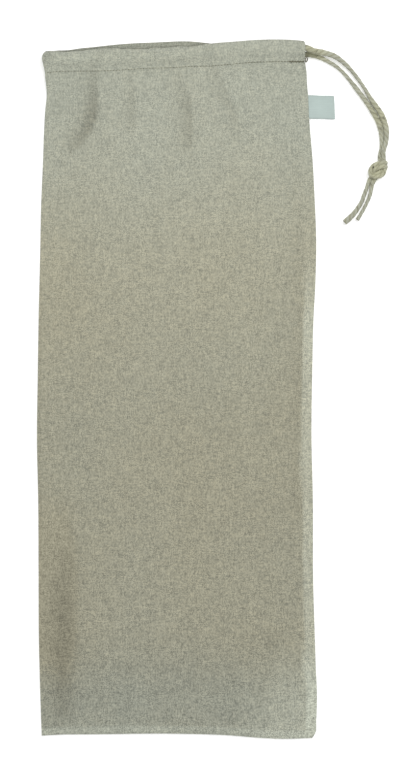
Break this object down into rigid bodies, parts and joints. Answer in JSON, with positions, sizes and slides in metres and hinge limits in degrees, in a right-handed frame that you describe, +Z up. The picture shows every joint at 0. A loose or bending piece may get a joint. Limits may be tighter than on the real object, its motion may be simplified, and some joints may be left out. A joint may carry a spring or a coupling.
{
  "type": "linen drawstring bread bag",
  "caption": "Long flat linen bag for baguettes, lying on its back layer, with a casing round the mouth, a knotted cord drawstring and a small bare side label.",
  "frame": {"origin": "middle of the back layer's underside, on the surface that the empty bag lies on", "axes": "+Y along the bag towards its mouth, +Z up through the layers, +X towards the sewn right side with the label and the cord"},
  "size_m": [0.351, 0.6989, 0.022],
  "materials": {
    "linen": "plain linen weave, matt, greyish green-beige, with slubs",
    "cord": "soft twisted cotton cord of three plies, matt, pale beige",
    "label_ribbon": "fine woven ribbon with a slight sheen, pale grey-green, bare"
  },
  "bodies": {
    "root": {"bag_cloth": "linen", "drawstring_in_casing": "cord", "drawstring_strand_front": "cord", "drawstring_strand_back": "cord", "drawstring_knot": "cord", "drawstring_tail_left": "cord", "drawstring_tail_right": "cord", "side_label": "label_ribbon"}
  },
  "joints": []
}
